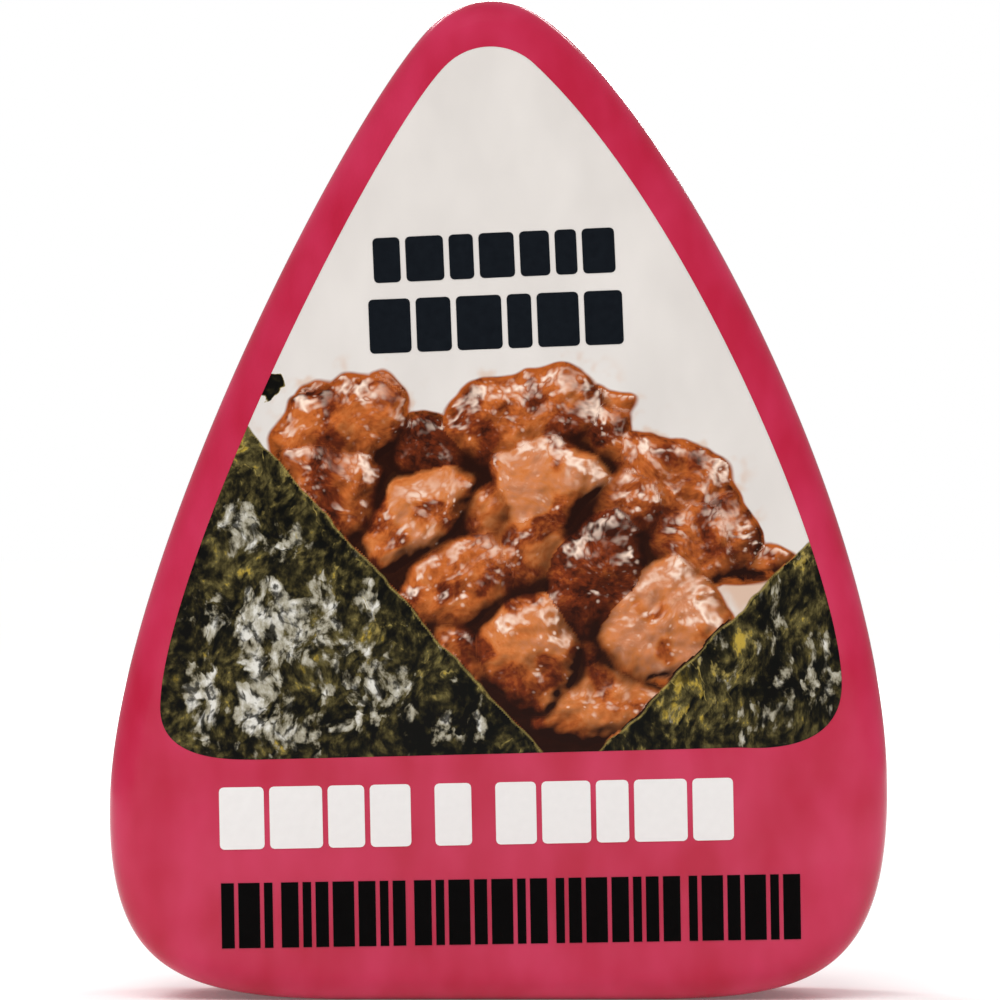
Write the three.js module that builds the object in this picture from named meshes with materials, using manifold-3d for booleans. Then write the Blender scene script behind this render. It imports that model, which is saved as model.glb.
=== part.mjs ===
// A shut onigiri pack: a rounded triangular block of rice, pressed flat back and front,
// in a printed film that is drawn over its edges and closed on the back.
//
// Millimetres, +Z up, +X to the viewer's right, -Y towards the viewer. The origin is at the
// middle of the pack's bounding box, on the surface that the pack stands on.
import * as THREE from "three";
import { mergeVertices } from "three/addons/utils/BufferGeometryUtils.js";
import Module from "manifold-3d";

// ---- Driving dimensions ----------------------------------------------------------------

// The outline, seen from the front: a flat foot, two full lower corners, two flanks that
// bow a little, and a round apex that sits a little left of the middle.
const HEIGHT = 99.9;
const APEX = { x: -0.65, radius: 8.55 };
const FOOT_HALF_WIDTH = 15;

// Each side runs up from the foot to its widest point, the belly, and on to the apex arc.
// The handles are those of the two cubic curves that make it, and arc is how far round the
// apex, in radians from its top, the flank ends.
const LEFT = {
  side: -1,
  belly: { x: 38.9, z: 19.0 },
  cornerHandles: { foot: 18.0, belly: 15.4 },
  flankHandles: { belly: 23.8, apex: 10.4 },
  arc: 0.73,
};
const RIGHT = {
  side: 1,
  belly: { x: 38.9, z: 21.0 },
  cornerHandles: { foot: 16.8, belly: 18.3 },
  flankHandles: { belly: 28.1, apex: 13.7 },
  arc: 0.5,
};

// The block, seen from the side.
const WALL_DEPTH = 21.2; // the straight wall between the two rounded edges
const EDGE_RADIUS = 3.0; // where the wall turns into a face
const CROWN = 1.2; // how far a face swells between its edges
const APEX_THINNING = 0.1; // share of the depth that is lost towards the apex
const THINNING_STARTS = 45; // height where the block begins to thin
const FACE_CENTRE = { x: 0, z: 40 }; // where the crown is highest

// The film's laps on the back, drawn a little thicker than the film so that they hold.
const SEAM_LAP = 0.4;
const FLAP_LAP = 0.6;
const BACK_SEAM = { x: 1.5, width: 9, foot: 6, top: 92 };
const END_FLAP = { foot: 4.2, top: 16, footHalfWidth: 27, topHalfWidth: 20 };

// ---- Resolution ------------------------------------------------------------------------

const STATION_SPACING = 2.3; // between the stations round the outline
const EDGE_STEPS = 4;
const CROWN_RINGS = [0.86, 0.68, 0.48, 0.27]; // each ring's share of the face, edge to centre
const WELD = 1e-4; // points nearer than this are one

// ---- Film ------------------------------------------------------------------------------

const FILM = new THREE.MeshStandardMaterial({
  name: "printed_film",
  color: 0xc4384f,
  roughness: 0.45,
  metalness: 0,
});

// ---- Outline ---------------------------------------------------------------------------

const at = (x, z) => new THREE.Vector2(x, z);

// The control points of one side: its corner from foot to belly, and its flank from there
// to the apex arc.
function sidePoints({ side, belly, cornerHandles, flankHandles, arc }) {
  const end = at(
    APEX.x + side * APEX.radius * Math.sin(arc),
    HEIGHT - APEX.radius + APEX.radius * Math.cos(arc),
  );
  const downhill = at(side * Math.cos(arc), -Math.sin(arc));
  const corner = [
    at(side * FOOT_HALF_WIDTH, 0),
    at(side * (FOOT_HALF_WIDTH + cornerHandles.foot), 0),
    at(side * belly.x, belly.z - cornerHandles.belly),
    at(side * belly.x, belly.z),
  ];
  const flank = [
    at(side * belly.x, belly.z),
    at(side * belly.x, belly.z + flankHandles.belly),
    end.clone().addScaledVector(downhill, flankHandles.apex),
    end,
  ];
  return { corner, flank };
}

// The apex arc between two angles, which are counted anticlockwise from +X.
function apexArc(from, to) {
  return new THREE.EllipseCurve(
    APEX.x, HEIGHT - APEX.radius, APEX.radius, APEX.radius, from, to, false,
  );
}

// The outline's curves, anticlockwise from the left end of the foot.
function outlineCurves() {
  const right = sidePoints(RIGHT);
  const left = sidePoints(LEFT);
  const top = Math.PI / 2;
  return [
    new THREE.LineCurve(at(-FOOT_HALF_WIDTH, 0), at(FOOT_HALF_WIDTH, 0)),
    new THREE.CubicBezierCurve(...right.corner),
    new THREE.CubicBezierCurve(...right.flank),
    apexArc(top - RIGHT.arc, top),
    apexArc(top, top + LEFT.arc),
    new THREE.CubicBezierCurve(...left.flank.reverse()),
    new THREE.CubicBezierCurve(...left.corner.reverse()),
  ];
}

// Stations round the outline, about evenly spaced: each point and its inward unit normal.
function outlineStations() {
  return outlineCurves().flatMap((curve) => {
    const steps = Math.ceil(curve.getLength() / STATION_SPACING);
    return Array.from({ length: steps }, (_, i) => {
      const tangent = curve.getTangentAt(i / steps);
      return { point: curve.getPointAt(i / steps), inward: at(-tangent.y, tangent.x) };
    });
  });
}

// ---- Block -----------------------------------------------------------------------------

// How much of the full depth the block keeps at height z.
function depthShare(z) {
  return 1 - APEX_THINNING * THREE.MathUtils.smoothstep(z, THINNING_STARTS, HEIGHT);
}

// How much of the crown a face has where a ring is drawn in to this share of the face.
function crownShare(draw) {
  return (1 - draw ** 2) ** 2;
}

// One ring round the block: the outline moved inwards, then drawn in towards the face's
// centre, at a depth that is counted from the middle of the block.
function ring(stations, { inset, draw, depth }) {
  return stations.map(({ point, inward }) => {
    const edge = point.clone().addScaledVector(inward, inset);
    const x = THREE.MathUtils.lerp(FACE_CENTRE.x, edge.x, draw);
    const z = THREE.MathUtils.lerp(FACE_CENTRE.z, edge.y, draw);
    return new THREE.Vector3(x, depth * depthShare(z), z);
  });
}

// The rings of one half of the block, from the end of its wall to the face's centre, with
// the whole surface moved outwards by lap.
function halfProfile(lap) {
  const wall = WALL_DEPTH / 2;
  const radius = EDGE_RADIUS + lap;
  const edge = Array.from({ length: EDGE_STEPS + 1 }, (_, i) => {
    const turn = ((i / EDGE_STEPS) * Math.PI) / 2;
    const inset = EDGE_RADIUS - radius * Math.cos(turn);
    return { inset, draw: 1, depth: wall + radius * Math.sin(turn) };
  });
  const face = CROWN_RINGS.map((draw) => ({
    inset: EDGE_RADIUS,
    draw,
    depth: wall + radius + CROWN * crownShare(draw),
  }));
  return [...edge, ...face];
}

// The block's closed surface, moved outwards by lap, as rings from the front's centre over
// the wall to the back's centre.
function blockGeometry(lap) {
  const stations = outlineStations();
  const half = halfProfile(lap);
  const front = half.map((r) => ring(stations, { ...r, depth: -r.depth })).reverse();
  const back = half.map((r) => ring(stations, r));
  const rings = [...front, ...back];
  const reach = (WALL_DEPTH / 2 + EDGE_RADIUS + lap + CROWN) * depthShare(FACE_CENTRE.z);
  const frontCentre = new THREE.Vector3(FACE_CENTRE.x, -reach, FACE_CENTRE.z);
  const backCentre = new THREE.Vector3(FACE_CENTRE.x, reach, FACE_CENTRE.z);
  const positions = [];
  const put = (...points) => points.forEach((p) => positions.push(p.x, p.y, p.z));
  stations.forEach((_, i) => {
    const j = (i + 1) % stations.length;
    put(frontCentre, rings[0][i], rings[0][j]);
    for (let k = 0; k + 1 < rings.length; k++) {
      put(rings[k][i], rings[k + 1][i], rings[k + 1][j]);
      put(rings[k][i], rings[k + 1][j], rings[k][j]);
    }
    put(rings.at(-1)[i], backCentre, rings.at(-1)[j]);
  });
  return new THREE.BufferGeometry().setAttribute(
    "position",
    new THREE.Float32BufferAttribute(positions, 3),
  );
}

// ---- Solids ----------------------------------------------------------------------------

const wasm = await Module();
wasm.setup();

// A closed geometry as a manifold-3d solid.
function solid(geometry) {
  const loose = geometry.index ? geometry.toNonIndexed() : geometry;
  const bare = new THREE.BufferGeometry().setAttribute("position", loose.getAttribute("position"));
  const merged = mergeVertices(bare, WELD);
  return new wasm.Manifold(
    new wasm.Mesh({
      numProp: 3,
      vertProperties: merged.getAttribute("position").array,
      triVerts: new Uint32Array(merged.index.array),
    }),
  );
}

// A manifold-3d solid as a flat-shaded geometry.
function geometryOf(made) {
  const mesh = made.getMesh();
  const positions = new Float32Array(mesh.numVert * 3);
  for (let i = 0; i < mesh.numVert; i++) {
    const from = i * mesh.numProp;
    positions.set(mesh.vertProperties.subarray(from, from + 3), i * 3);
  }
  const geometry = new THREE.BufferGeometry()
    .setAttribute("position", new THREE.BufferAttribute(positions, 3))
    .setIndex(new THREE.BufferAttribute(mesh.triVerts, 1))
    .toNonIndexed();
  geometry.computeVertexNormals();
  return geometry;
}

// A lap of film on the back: the block moved outwards by lap, as far as it lies behind the
// middle and within this outline in X and Z.
function backLap(outline, lap) {
  const prism = new THREE.ExtrudeGeometry(new THREE.Shape(outline), {
    depth: WALL_DEPTH,
    bevelEnabled: false,
  });
  prism.rotateX(Math.PI / 2); // its outline stands up, and it runs from the middle along -Y
  prism.translate(0, WALL_DEPTH + EDGE_RADIUS, 0);
  return solid(blockGeometry(lap)).intersect(solid(prism));
}

// The corners of the seam that runs up the back.
function seamOutline({ x, width, foot, top }) {
  return [
    at(x - width / 2, foot),
    at(x + width / 2, foot),
    at(x + width / 2, top),
    at(x - width / 2, top),
  ];
}

// The corners of the flap that is folded up over the seam's foot.
function flapOutline({ foot, top, footHalfWidth, topHalfWidth }) {
  return [
    at(-footHalfWidth, foot),
    at(footHalfWidth, foot),
    at(topHalfWidth, top),
    at(-topHalfWidth, top),
  ];
}

// The block in its film, with the back seam and the end flap.
function packGeometry() {
  const block = solid(blockGeometry(0));
  const seam = backLap(seamOutline(BACK_SEAM), SEAM_LAP);
  const flap = backLap(flapOutline(END_FLAP), FLAP_LAP);
  return geometryOf(block.add(seam).add(flap));
}

// ---- The part --------------------------------------------------------------------------

const pack = new THREE.Mesh(packGeometry(), FILM);
pack.name = "onigiri_pack";
pack.position.y = -SEAM_LAP / 2; // the seam stands proud of the back alone

const part = new THREE.Group();
part.name = "onigiri_pack_part";
part.add(pack);

export default part;
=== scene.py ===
"""A shut onigiri pack: a rounded triangular block of rice in a crimson printed film.

The film wraps the whole block and is lapped on the back. Its front carries a picture window,
the places of its words, shown as plain blocks, and a strip of plain bars. All of it rides on
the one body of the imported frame. Lengths are in millimetres, but for those of the lights and
the floor, which are in metres.
"""
import logging
import math
from collections.abc import Callable, Iterable, Iterator
from contextlib import contextmanager
from dataclasses import dataclass
from enum import Enum
from functools import cached_property, partial

import bmesh
import bpy
import numpy as np
from bpy.types import ID, Material, Mesh, Node, NodeSocket, NodeTree, Object
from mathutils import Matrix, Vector, kdtree


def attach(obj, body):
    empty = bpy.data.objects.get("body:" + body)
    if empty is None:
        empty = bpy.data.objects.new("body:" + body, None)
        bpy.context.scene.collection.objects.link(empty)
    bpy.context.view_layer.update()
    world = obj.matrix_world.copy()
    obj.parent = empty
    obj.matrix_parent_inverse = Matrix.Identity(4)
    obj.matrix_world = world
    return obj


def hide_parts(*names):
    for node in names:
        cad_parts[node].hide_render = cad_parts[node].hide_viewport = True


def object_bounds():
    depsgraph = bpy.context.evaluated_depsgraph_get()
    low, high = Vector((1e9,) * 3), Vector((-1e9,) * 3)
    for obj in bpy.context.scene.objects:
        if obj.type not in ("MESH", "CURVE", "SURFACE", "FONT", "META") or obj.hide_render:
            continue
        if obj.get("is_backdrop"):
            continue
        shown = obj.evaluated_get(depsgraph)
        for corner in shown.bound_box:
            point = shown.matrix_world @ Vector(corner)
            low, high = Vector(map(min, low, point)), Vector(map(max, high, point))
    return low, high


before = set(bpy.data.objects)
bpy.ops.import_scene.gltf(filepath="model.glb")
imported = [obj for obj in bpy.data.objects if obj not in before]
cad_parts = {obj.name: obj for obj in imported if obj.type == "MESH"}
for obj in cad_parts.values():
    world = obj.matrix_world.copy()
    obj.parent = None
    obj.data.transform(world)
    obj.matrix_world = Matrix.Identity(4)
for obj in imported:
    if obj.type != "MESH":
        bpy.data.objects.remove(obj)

CAD_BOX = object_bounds()
BODY = "root"
MM = 0.001
LOG = logging.getLogger("onigiri_pack")

Array = np.ndarray
Place = tuple[float, float]
Direction = tuple[float, float, float]
Colour = tuple[float, float, float, float]
NodeMaker = Callable[..., Node]

COLOURS = {"data_type": "RGBA"}
SOFT_STEP = {"interpolation_type": "SMOOTHSTEP"}
NOISE_PERIOD = 64
NOISE_GAIN = 1.6


# ---- Numbers and nodes -------------------------------------------------------------------


def linear(code: str) -> Colour:
    """Turns an sRGB hex colour into the linear colour that a socket takes.

    Args:
        code: the colour as "#rrggbb".

    Returns:
        The linear red, green, blue and an alpha of 1.
    """
    parts = [int(code[i : i + 2], 16) / 255 for i in (1, 3, 5)]
    toned = [c / 12.92 if c <= 0.04045 else ((c + 0.055) / 1.055) ** 2.4 for c in parts]
    return (*toned, 1.0)


def smooth(value: Array, low: float, high: float) -> Array:
    """Rises smoothly from 0 where value is low to 1 where it is high."""
    t = np.clip((value - low) / (high - low), 0, 1)
    return t * t * (3 - 2 * t)


def gradient_noise(u: Array, v: Array, size: float, seed: int) -> Array:
    """Smooth seeded noise in two directions.

    Args:
        u: places along the first direction, in millimetres.
        v: places along the second direction, in millimetres.
        size: how far apart the noise's own points lie, in millimetres.
        seed: which noise it is.

    Returns:
        A value of about -1 to 1 for each place.
    """
    turn = np.random.default_rng(seed).uniform(0, 2 * math.pi, (NOISE_PERIOD, NOISE_PERIOD))
    i, j = np.floor(u / size).astype(int), np.floor(v / size).astype(int)
    f, g = u / size - i, v / size - j

    def pull(across: int, up: int) -> Array:
        """What one corner of a place's cell adds."""
        own = turn[(i + across) % NOISE_PERIOD, (j + up) % NOISE_PERIOD]
        return np.cos(own) * (f - across) + np.sin(own) * (g - up)

    s, t = f * f * (3 - 2 * f), g * g * (3 - 2 * g)
    near = pull(0, 0) * (1 - t) + pull(0, 1) * t
    far = pull(1, 0) * (1 - t) + pull(1, 1) * t
    return NOISE_GAIN * (near * (1 - s) + far * s)


def layered_noise(u: Array, v: Array, size: float, seed: int, layers: int,
                  gain: float = 0.5) -> Array:
    """Gradient noise with finer layers on it, each half as large and gain times as strong."""
    noises = [gain**k * gradient_noise(u, v, size * 0.5**k, seed + k) for k in range(layers)]
    return np.sum(noises, axis=0)


def add_node(tree: NodeTree, kind: str, inputs: dict | tuple = (),
             stops: Iterable[tuple[float, str]] = (), **settings: object) -> Node:
    """Adds one shader node with its settings and links.

    Args:
        tree: the node tree.
        kind: the node's Blender type, without its "ShaderNode".
        inputs: a value, a hex colour, a node or an output for each socket by name, or for the
            first sockets in the node's own order. A noise's order is place, scale, detail and
            roughness, and a map range's is value, from and to. A node stands for its output.
        stops: a colour ramp's positions and hex colours, its two ends first.
        **settings: the node's own properties.

    Returns:
        The new node.
    """
    node = tree.nodes.new("ShaderNode" + kind)
    for name, value in settings.items():
        setattr(node, name, value)
    sockets = [socket for socket in node.inputs if socket.enabled]
    if isinstance(inputs, dict):
        sockets = [next(s for s in sockets if s.name == name) for name in inputs]
        inputs = inputs.values()
    for socket, value in zip(sockets, inputs):
        if isinstance(value, Node):
            value = next(output for output in value.outputs if output.enabled)
        if isinstance(value, NodeSocket):
            tree.links.new(value, socket)
        else:
            socket.default_value = linear(value) if isinstance(value, str) else value
    for place, (position, code) in enumerate(stops):
        elements = node.color_ramp.elements
        element = elements[place] if place < 2 else elements.new(position)
        element.position, element.color = position, linear(code)
    return node


def new_material(name: str) -> tuple[Material, NodeMaker]:
    """Makes a material with an empty node tree.

    Args:
        name: the real material's name.

    Returns:
        The material, and the function that adds a node to it.
    """
    material = bpy.data.materials.new(name)
    material.use_nodes = True
    material.node_tree.nodes.clear()
    return material, partial(add_node, material.node_tree)


# ---- Meshes ------------------------------------------------------------------------------


def select_only(*objs: Object) -> None:
    """Selects these objects alone and makes the first one active.

    Args:
        *objs: the objects.
    """
    bpy.ops.object.select_all(action="DESELECT")
    for obj in objs:
        obj.select_set(True)
    bpy.context.view_layer.objects.active = objs[0]


def fresh(name: str) -> Object:
    """Names the object that was just made, and puts its place into its mesh.

    Args:
        name: the object's name, and its mesh's.

    Returns:
        The object.
    """
    obj = bpy.context.view_layer.objects.active
    obj.name = obj.data.name = name
    bpy.ops.object.transform_apply(location=True, rotation=True, scale=True)
    return obj


@contextmanager
def edit_mode(obj: Object) -> Iterator[None]:
    """Edits one object's mesh, with nothing in it selected at first.

    Args:
        obj: the object, which stays selected and active afterwards.

    Yields:
        Nothing, while the object is in edit mode.
    """
    select_only(obj)
    bpy.ops.object.mode_set(mode="EDIT")
    bpy.ops.mesh.select_all(action="DESELECT")
    yield
    bpy.ops.object.mode_set(mode="OBJECT")


def pick(obj: Object, kind: str, wanted: Callable) -> None:
    """Selects the edited mesh's vertices, edges or faces that fit, and nothing else.

    Args:
        obj: the object in edit mode.
        kind: "VERT", "EDGE" or "FACE".
        wanted: says whether a BMVert, BMEdge or BMFace is selected.
    """
    bpy.ops.mesh.select_mode(type=kind)
    bpy.ops.mesh.select_all(action="DESELECT")
    mesh = bmesh.from_edit_mesh(obj.data)
    for part in {"VERT": mesh.verts, "EDGE": mesh.edges, "FACE": mesh.faces}[kind]:
        if wanted(part):
            part.select_set(True)
    bmesh.update_edit_mesh(obj.data)


def is_rim(edge: bmesh.types.BMEdge) -> bool:
    """Says whether an edge is on a sheet's rim."""
    return len(edge.link_faces) == 1


def spans_depth(edge: bmesh.types.BMEdge) -> bool:
    """Says whether an edge runs from in front of the middle plane to behind it."""
    return edge.verts[0].co.y * edge.verts[1].co.y < 0


def close_below(obj: Object, depth: float) -> None:
    """Makes an edited sheet a closed slab: its rim is drawn out along Y and filled there.

    Args:
        obj: the sheet in edit mode.
        depth: how far along Y, in millimetres.
    """
    pick(obj, "EDGE", is_rim)
    bpy.ops.mesh.extrude_region_move(TRANSFORM_OT_translate={"value": (0, depth * MM, 0)})
    bpy.ops.mesh.edge_face_add()


def read_points(mesh: Mesh) -> Array:
    """Reads where a mesh's vertices are.

    Args:
        mesh: the mesh.

    Returns:
        Their places in millimetres, one row each.
    """
    found = np.empty(len(mesh.vertices) * 3, np.float32)
    mesh.vertices.foreach_get("co", found)
    return found.reshape(-1, 3).astype(float) / MM


def write_points(mesh: Mesh, points: Array) -> None:
    """Moves a mesh's vertices to these places, in millimetres."""
    mesh.vertices.foreach_set("co", (points * MM).astype(np.float32).ravel())
    mesh.update()


def write_attribute(mesh: Mesh, name: str, values: Array) -> None:
    """Stores a vector for each vertex of a mesh."""
    attribute = mesh.attributes.new(name, "FLOAT_VECTOR", "POINT")
    attribute.data.foreach_set("vector", values.astype(np.float32).ravel())


def hand_over(obj: Object, material: Material) -> Object:
    """Dresses a finished piece, lets it ride on the pack and reports it.

    Args:
        obj: the piece.
        material: what it is made of.

    Returns:
        The piece.
    """
    obj.data.materials.clear()
    obj.data.materials.append(material)
    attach(obj, BODY)
    LOG.info("%s: %d vertices", obj.name, len(obj.data.vertices))
    return obj


# ---- Form --------------------------------------------------------------------------------


@dataclass(frozen=True)
class Side:
    """One side of an outline, from its foot up to the apex arc.

    sign is -1 on the left and 1 on the right. The handles are those of the side's two cubic
    curves, and arc is how far round the apex, in radians from its top, the flank ends.
    """

    sign: int
    foot: Place
    belly: Place
    corner_handles: Place
    flank_handles: Place
    arc: float

    def corner(self) -> list[Array]:
        """The control points of the curve from the foot to the belly.

        Returns:
            The curve's start, its two handles' ends and its end.
        """
        foot, belly = np.array(self.foot), np.array(self.belly)
        foot_handle, belly_handle = self.corner_handles
        return [foot, foot + (self.sign * foot_handle, 0), belly - (0, belly_handle), belly]

    def flank(self, apex: Array, radius: float) -> list[Array]:
        """The control points of the curve from the belly to the arc round the apex.

        Args:
            apex: the middle of that arc.
            radius: its radius.

        Returns:
            The curve's start, its two handles' ends and its end.
        """
        across, along = math.sin(self.arc), math.cos(self.arc)
        belly_handle, apex_handle = self.flank_handles
        end = apex + radius * np.array([self.sign * across, along])
        downhill = np.array([self.sign * along, -across])
        belly = np.array(self.belly)
        return [belly, belly + (0, belly_handle), end + downhill * apex_handle, end]


@dataclass(frozen=True)
class Outline:
    """A rounded triangle in X and Z. Its centre sees all of it."""

    top: float
    apex_x: float
    apex_radius: float
    left: Side
    right: Side
    centre: Place
    points_each: int = 800

    @cached_property
    def line(self) -> Array:
        """Closely spaced points, anticlockwise from the left end of the foot."""
        apex = np.array([self.apex_x, self.top - self.apex_radius])
        t = np.linspace(0, 1, self.points_each, endpoint=False)[:, None]

        def cubic(a: Array, b: Array, c: Array, d: Array) -> Array:
            """Points on a cubic curve, without its last."""
            s = 1 - t
            return s**3 * a + 3 * s**2 * t * b + 3 * s * t**2 * c + t**3 * d

        turn = self.right.arc - t * (self.right.arc + self.left.arc)
        foot_left, foot_right = np.array(self.left.foot), np.array(self.right.foot)
        return np.vstack([
            foot_left + t * (foot_right - foot_left),
            cubic(*self.right.corner()),
            cubic(*self.right.flank(apex, self.apex_radius)),
            apex + self.apex_radius * np.hstack([np.sin(turn), np.cos(turn)]),
            cubic(*reversed(self.left.flank(apex, self.apex_radius))),
            cubic(*reversed(self.left.corner())),
        ])

    @cached_property
    def along(self) -> Array:
        """How far along the outline each point of the line lies, and its whole length last."""
        steps = np.roll(self.line, -1, axis=0) - self.line
        return np.concatenate([[0], np.cumsum(np.hypot(*steps.T))])

    @cached_property
    def tree(self) -> kdtree.KDTree:
        """The line's points, for finding the nearest."""
        tree = kdtree.KDTree(len(self.line))
        for number, (x, z) in enumerate(self.line):
            tree.insert((x, 0, z), number)
        tree.balance()
        return tree

    def nearest(self, x: Array, z: Array) -> tuple[Array, Array]:
        """The number of the line's point nearest to each place, and how far off it is."""
        found = [self.tree.find((px, 0, pz)) for px, pz in zip(x, z)]
        return np.array([hit[1] for hit in found]), np.array([hit[2] for hit in found])

    def stations(self, count: int) -> Array:
        """Spaces points evenly round the outline.

        Args:
            count: how many.

        Returns:
            Their X and Z, one row each.
        """
        closed = np.vstack([self.line, self.line[:1]])
        where = np.linspace(0, self.along[-1], count, endpoint=False)
        return np.column_stack([np.interp(where, self.along, closed[:, k]) for k in (0, 1)])

    def inset(self, distance: float) -> Array:
        """Moves the line inwards.

        Args:
            distance: how far.

        Returns:
            The moved line's points.
        """
        tangent = np.roll(self.line, -1, axis=0) - np.roll(self.line, 1, axis=0)
        tangent /= np.hypot(*tangent.T)[:, None]
        return self.line + distance * np.column_stack([-tangent[:, 1], tangent[:, 0]])

    def share(self, x: Array, z: Array, inset: float = 0.0) -> Array:
        """How far out places lie, seen from the centre.

        Args:
            x: the places across.
            z: the places up.
            inset: how far inwards the line is moved first.

        Returns:
            0 at the centre and 1 on the line for each place.
        """
        rim = (self.inset(inset) if inset else self.line) - self.centre
        angle = np.arctan2(rim[:, 1], rim[:, 0])
        order = np.argsort(angle)
        dx, dz = x - self.centre[0], z - self.centre[1]
        turn, reaches = np.arctan2(dz, dx), np.hypot(*rim.T)
        return np.hypot(dx, dz) / np.interp(turn, angle[order], reaches[order], period=2 * math.pi)


PACK_OUTLINE = Outline(
    top=99.9,
    apex_x=-0.65,
    apex_radius=8.55,
    left=Side(-1, (-15, 0), (-38.9, 19.0), (18.0, 15.4), (23.8, 10.4), 0.73),
    right=Side(1, (15, 0), (38.9, 21.0), (16.8, 18.3), (28.1, 13.7), 0.5),
    centre=(0, 40),
)

WINDOW_OUTLINE = Outline(
    top=95.2,
    apex_x=-0.77,
    apex_radius=6.3,
    left=Side(-1, (-24, 24.1), (-33.7, 29.2), (2.5, 5.4), (13.6, 9.5), 0.76),
    right=Side(1, (24, 25.3), (34.2, 31.6), (1.1, 7.3), (10.9, 21.6), 0.75),
    centre=(0, 48),
)


class Face(Enum):
    """A face of the pack: which way it looks along Y, and the seed of its unevenness."""

    FRONT = (-1, 11)
    BACK = (1, 21)


@dataclass(frozen=True)
class PackForm:
    """The pack's form, as its solid has it, and the taut film's faint unevenness on it.

    wall is how wide the wall is between its two rounded edges, middle is the Y of the plane
    half way across it, and crown is how far each face swells.
    """

    outline: Outline = PACK_OUTLINE
    wall: float = 21.2
    edge_radius: float = 3.0
    crown: float = 1.2
    apex_thinning: float = 0.1
    thinning_starts: float = 45
    middle: float = -0.2
    ripple: float = 0.05

    @property
    def half(self) -> float:
        """How far a face's edge lies from the middle plane."""
        return self.wall / 2 + self.edge_radius

    def depth_share(self, z: Array) -> Array:
        """How much of the full depth the block keeps at height z."""
        return 1 - self.apex_thinning * smooth(z, self.thinning_starts, self.outline.top)

    def face_share(self, x: Array, z: Array) -> Array:
        """How far out on a face places lie: 0 at its centre and 1 from its edge outwards."""
        return np.clip(self.outline.share(x, z, self.edge_radius), 0, 1)

    def crown_at(self, x: Array, z: Array) -> Array:
        """How far a face swells."""
        return self.crown * (1 - self.face_share(x, z) ** 2) ** 2

    def unevenness(self, x: Array, z: Array, face: Face) -> Array:
        """How far the film strays outwards from the true face, fading out at its edge.

        Args:
            x: the places across.
            z: the places up.
            face: the face that they are on.

        Returns:
            The distance at each place.
        """
        _, seed = face.value
        waves = gradient_noise(x, z * 0.7, size=11, seed=seed)
        waves += 0.4 * gradient_noise(x, z, size=4.5, seed=seed + 1)
        return self.ripple * waves * (1 - smooth(self.face_share(x, z), 0.8, 1))

    def surface(self, x: Array, z: Array, face: Face) -> Array:
        """Works out where a face of the pack lies.

        Args:
            x: the places across.
            z: the places up.
            face: the face.

        Returns:
            Its Y at each place.
        """
        way, _ = face.value
        depth = (self.half + self.crown_at(x, z)) * self.depth_share(z)
        return self.middle + way * depth + way * self.unevenness(x, z, face)

    def carry(self, obj: Object, face: Face) -> None:
        """Lays a flat piece on a face: the piece's own Y counts from there.

        Args:
            obj: the piece.
            face: the face.
        """
        points = read_points(obj.data)
        points[:, 1] += self.surface(points[:, 0], points[:, 2], face)
        write_points(obj.data, points)


# ---- Finishes ----------------------------------------------------------------------------


def painted_light_clouds(node: NodeMaker, place: NodeSocket, deep: str, pale: str, cloud_mm: float = 5.0) -> Node:
    """A colour in soft upright clouds of painted light: pale sheen and deeper shade on the film.

    Args:
        node: adds a node to the material.
        place: the piece's own places.
        deep: the colour in the painted shade, as hex.
        pale: the colour in the painted sheen, as hex.
        cloud_mm: how large the clouds are.

    Returns:
        The node that mixes the two colours.
    """
    # painted light: the pale clouds are a painted sheen, the deep ones a painted shade
    stretched = node("Mapping", {"Vector": place, "Scale": (1.0, 1.0, 0.55)})
    clouds = node("TexNoise", (stretched, 1 / (cloud_mm * MM), 2.0, 0.45))
    return node("Mix", (node("MapRange", (clouds, 0.3, 0.7)), deep, pale), **COLOURS)


def grained(node: NodeMaker, grain_mm: float, deep: str, pale: str) -> Node:
    """A colour that wavers between two, in an even grain.

    Args:
        node: adds a node to the material.
        grain_mm: how large the grain is.
        deep: the one colour, as hex.
        pale: the other colour, as hex.

    Returns:
        The node that mixes the two colours.
    """
    place = node("TexCoord").outputs["Object"]
    grain = node("TexNoise", (place, 1 / (grain_mm * MM), 2.0))
    return node("Mix", (grain, deep, pale), **COLOURS)


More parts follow.
